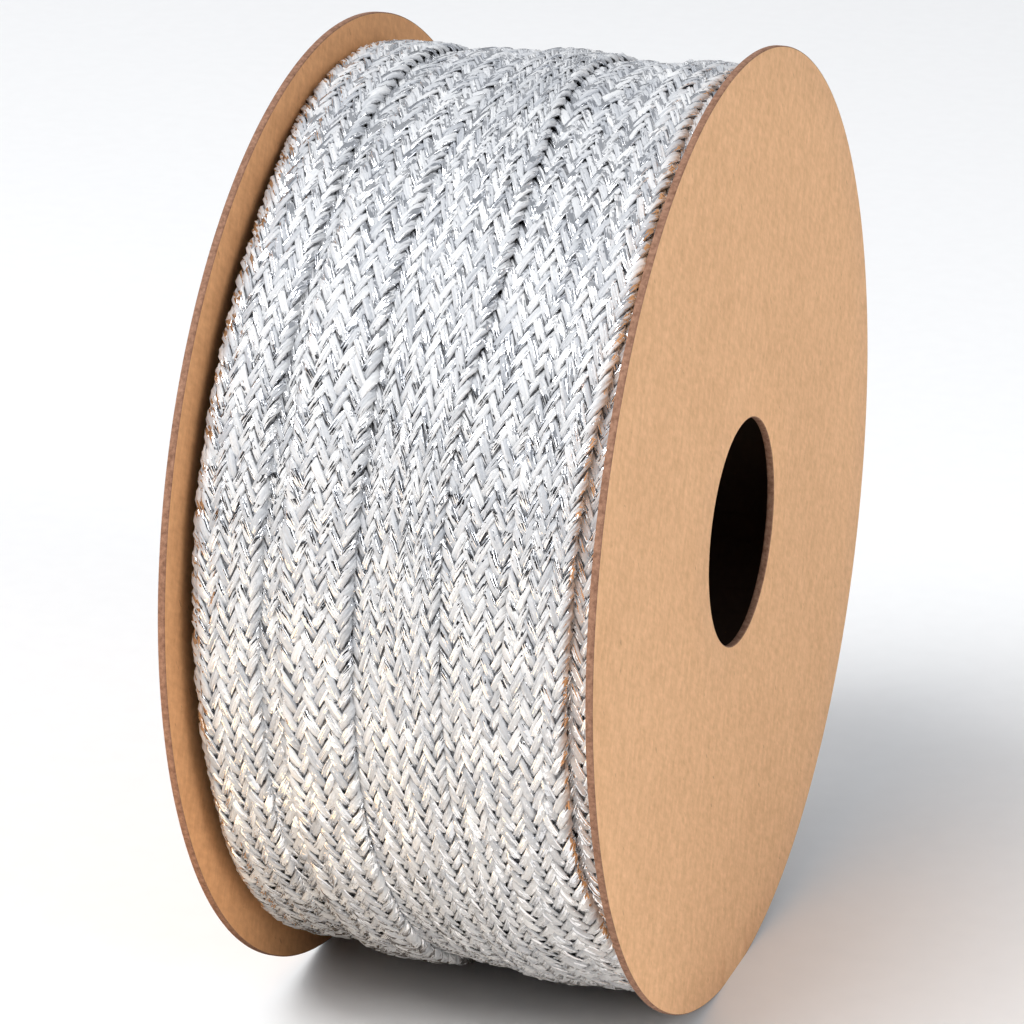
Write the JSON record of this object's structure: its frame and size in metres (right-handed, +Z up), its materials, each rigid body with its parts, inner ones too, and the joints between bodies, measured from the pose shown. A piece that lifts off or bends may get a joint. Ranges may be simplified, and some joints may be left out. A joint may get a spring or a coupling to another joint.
{
  "type": "gift ribbon on spool",
  "caption": "Narrow silver metallic flat-braided gift ribbon wound side by side on a kraft board spool with two round discs and an open centre hole.",
  "frame": {"origin": "on the surface that the spool stands on, under the middle of the spool", "axes": "+X along the spool's axis towards the near disc, +Z up, +Y away from the side that the picture shows"},
  "size_m": [0.0354, 0.08, 0.0798],
  "materials": {
    "ribbon": "flat braid of pale grey thread with fine silver metallic film",
    "kraft_board": "uncoated brown kraft board with short fibres and cut edges",
    "core_board": "plain brown board ring"
  },
  "bodies": {
    "root": {"winding": "ribbon", "disc_left": "kraft_board", "disc_right": "kraft_board", "core": "core_board"}
  },
  "joints": []
}
